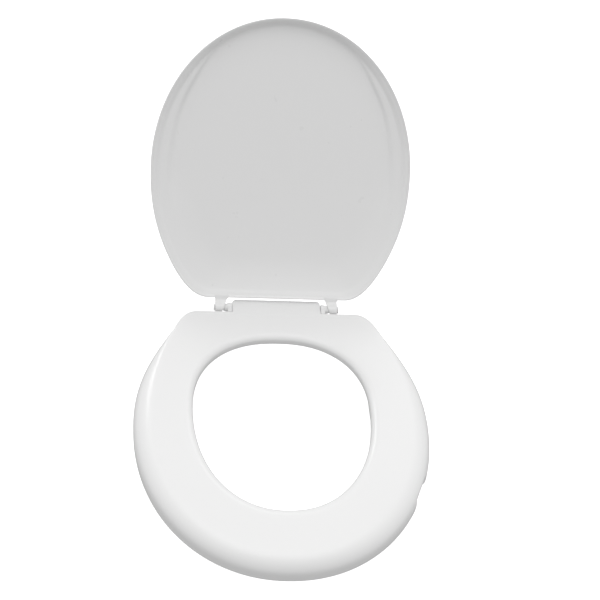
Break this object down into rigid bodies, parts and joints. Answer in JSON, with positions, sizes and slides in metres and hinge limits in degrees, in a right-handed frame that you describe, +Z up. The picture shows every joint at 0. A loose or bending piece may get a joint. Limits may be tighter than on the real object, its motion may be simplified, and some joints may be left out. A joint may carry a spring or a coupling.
{
  "type": "raised toilet seat",
  "caption": "Raised toilet seat: wide moulded ring on a riser, thin dished lid hinged open at the back, adjustable brackets that grip inside the bowl.",
  "frame": {"origin": "under the middle of the whole object with its lid open, level with the lower ends of the brackets", "axes": "+Z up, +Y towards the back of the toilet, where the lid stands, +X to the right seen from the front"},
  "size_m": [0.37, 0.6285, 0.3925],
  "materials": {
    "seat_plastic": "gloss, moulded",
    "lid_plastic": "gloss, moulded",
    "riser_plastic": "satin, moulded",
    "hinge_plastic": "gloss, moulded",
    "pin_plastic": "gloss",
    "bracket_plastic": "satin, moulded",
    "bolt_plastic": "satin",
    "pad_rubber": "matt, soft",
    "screw_steel": "zinc plated",
    "washer_steel": "zinc plated"
  },
  "bodies": {
    "seat": {"seat_ring": "seat_plastic", "riser_base": "riser_plastic", "riser_screws": "screw_steel", "rest_pad_front_left": "pad_rubber", "rest_pad_front_right": "pad_rubber", "rest_pad_side_left": "pad_rubber", "rest_pad_side_right": "pad_rubber", "rest_pad_back_left": "pad_rubber", "rest_pad_back_right": "pad_rubber", "hinge_lug_left": "hinge_plastic", "hinge_lug_right": "hinge_plastic", "hinge_pin_left": "pin_plastic", "hinge_pin_right": "pin_plastic", "bracket_washers": "washer_steel"},
    "lid": {"lid": "lid_plastic"},
    "bracket_front_left": {"bracket_front_left": "bracket_plastic", "leg_pads_front_left": "pad_rubber"},
    "bolt_front_left": {"bracket_bolt_front_left": "bolt_plastic"},
    "bracket_front_right": {"bracket_front_right": "bracket_plastic", "leg_pads_front_right": "pad_rubber"},
    "bolt_front_right": {"bracket_bolt_front_right": "bolt_plastic"},
    "bracket_back_left": {"bracket_back_left": "bracket_plastic", "leg_pads_back_left": "pad_rubber"},
    "bolt_back_left": {"bracket_bolt_back_left": "bolt_plastic"},
    "bracket_back_right": {"bracket_back_right": "bracket_plastic", "leg_pads_back_right": "pad_rubber"},
    "bolt_back_right": {"bracket_bolt_back_right": "bolt_plastic"}
  },
  "joints": [
    {"name": "lid_hinge", "type": "hinge", "parent": "seat", "child": "lid", "pos_m": [0, 0.0893, 0.0731], "axis": [1, 0, 0], "range_deg": [0, 123.7]},
    {"name": "bracket_slide_front_left", "type": "slide", "parent": "seat", "child": "bracket_front_left", "axis": [-1, 0, 0], "range_m": [-0.004, 0.004]},
    {"name": "bolt_turn_front_left", "type": "hinge", "parent": "seat", "child": "bolt_front_left", "pos_m": [-0.1295, -0.136, 0.027], "axis": [0, 0, -1], "range_deg": [0, 360]},
    {"name": "bracket_slide_front_right", "type": "slide", "parent": "seat", "child": "bracket_front_right", "axis": [1, 0, 0], "range_m": [-0.004, 0.004]},
    {"name": "bolt_turn_front_right", "type": "hinge", "parent": "seat", "child": "bolt_front_right", "pos_m": [0.1295, -0.136, 0.027], "axis": [0, 0, -1], "range_deg": [0, 360]},
    {"name": "bracket_slide_back_left", "type": "slide", "parent": "seat", "child": "bracket_back_left", "axis": [-1, 0, 0], "range_m": [-0.004, 0.004]},
    {"name": "bolt_turn_back_left", "type": "hinge", "parent": "seat", "child": "bolt_back_left", "pos_m": [-0.1295, -0.056, 0.027], "axis": [0, 0, -1], "range_deg": [0, 360]},
    {"name": "bracket_slide_back_right", "type": "slide", "parent": "seat", "child": "bracket_back_right", "axis": [1, 0, 0], "range_m": [-0.004, 0.004]},
    {"name": "bolt_turn_back_right", "type": "hinge", "parent": "seat", "child": "bolt_back_right", "pos_m": [0.1295, -0.056, 0.027], "axis": [0, 0, -1], "range_deg": [0, 360]}
  ]
}
